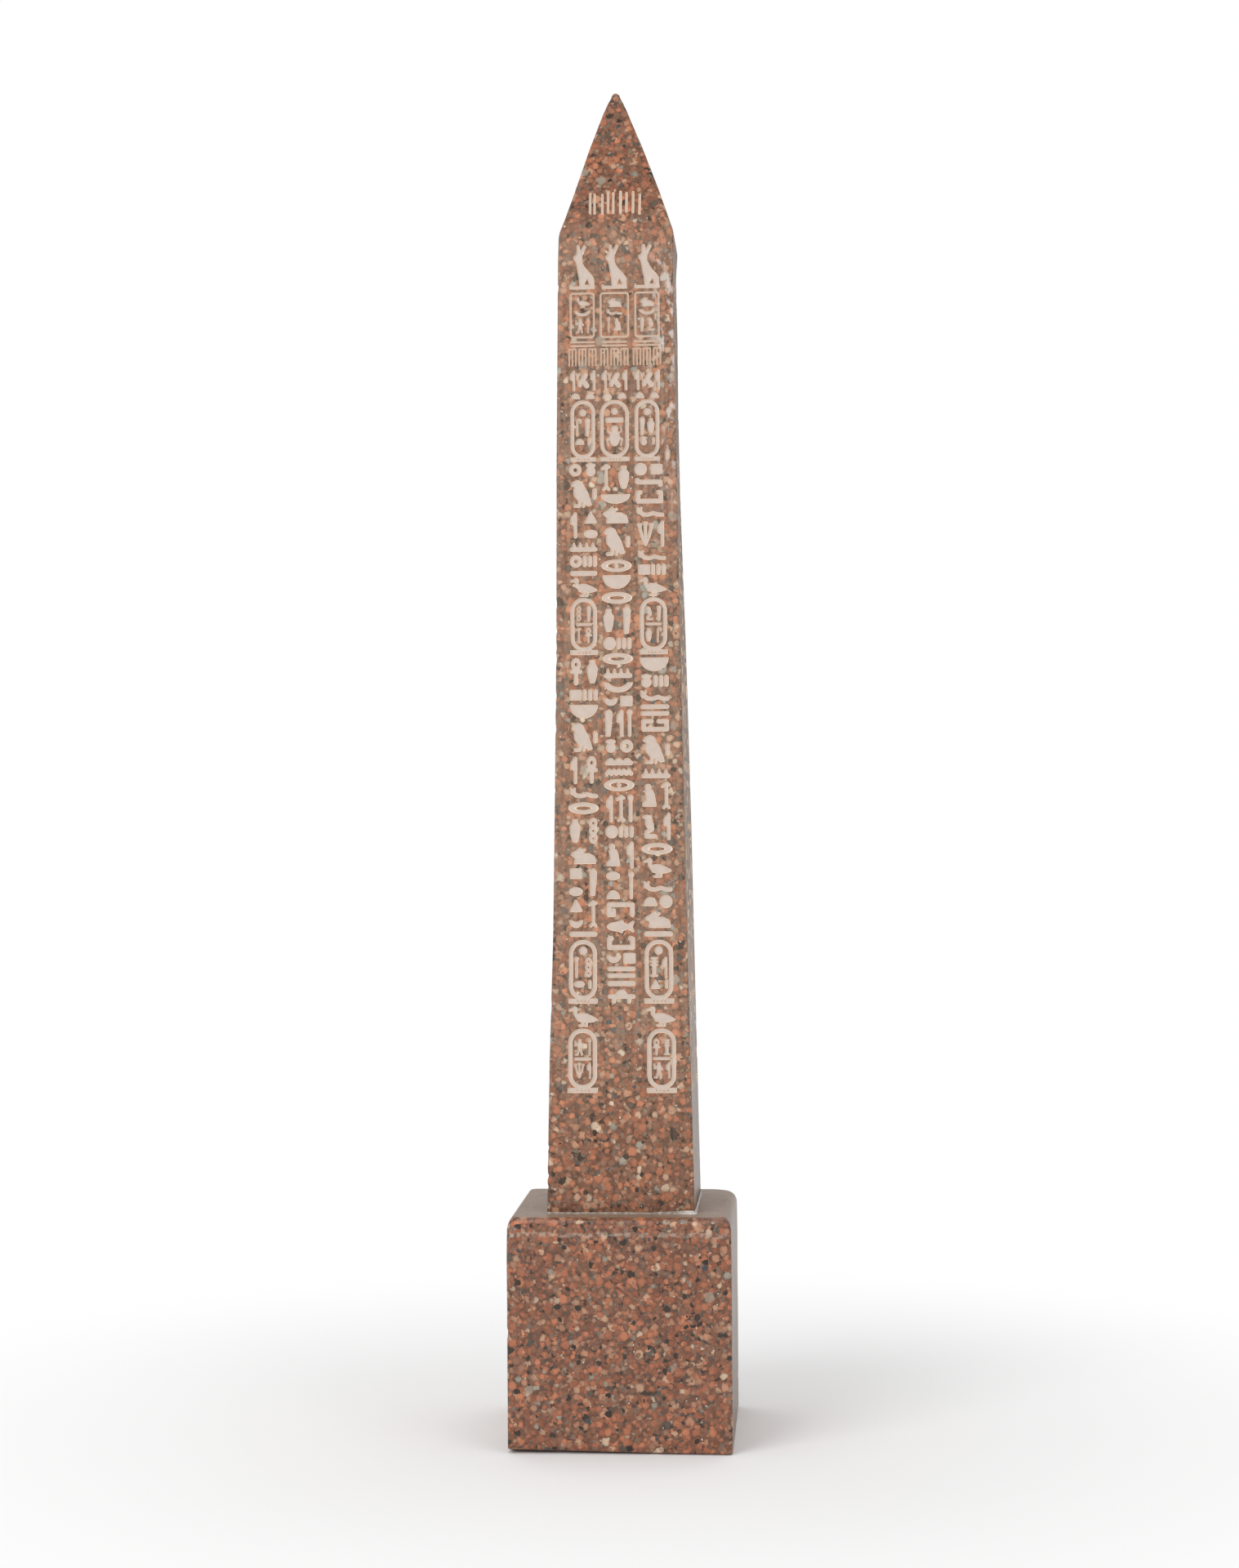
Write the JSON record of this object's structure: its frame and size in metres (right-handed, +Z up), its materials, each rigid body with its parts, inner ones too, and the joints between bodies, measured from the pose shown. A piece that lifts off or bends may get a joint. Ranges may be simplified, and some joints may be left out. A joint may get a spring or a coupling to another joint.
{
  "type": "model obelisk",
  "caption": "Desk-size model obelisk in polished red granite: square plinth block with rounded top edges, and a tapered shaft with a blunted pyramidion bedded on it in resin.",
  "frame": {"origin": "centre of the plinth's underside, on the surface that it stands on", "axes": "+Z up the shaft to the tip, front of the shaft towards -Y, right side towards +X"},
  "size_m": [0.075, 0.075, 0.4603],
  "materials": {
    "red_granite": "polished medium-grained red granite, with pale matt signs blasted into the shaft",
    "bedding_resin": "clear-grey stone resin, set glossy"
  },
  "bodies": {
    "root": {"plinth": "red_granite", "shaft": "red_granite", "resin_bed": "bedding_resin"}
  },
  "joints": []
}
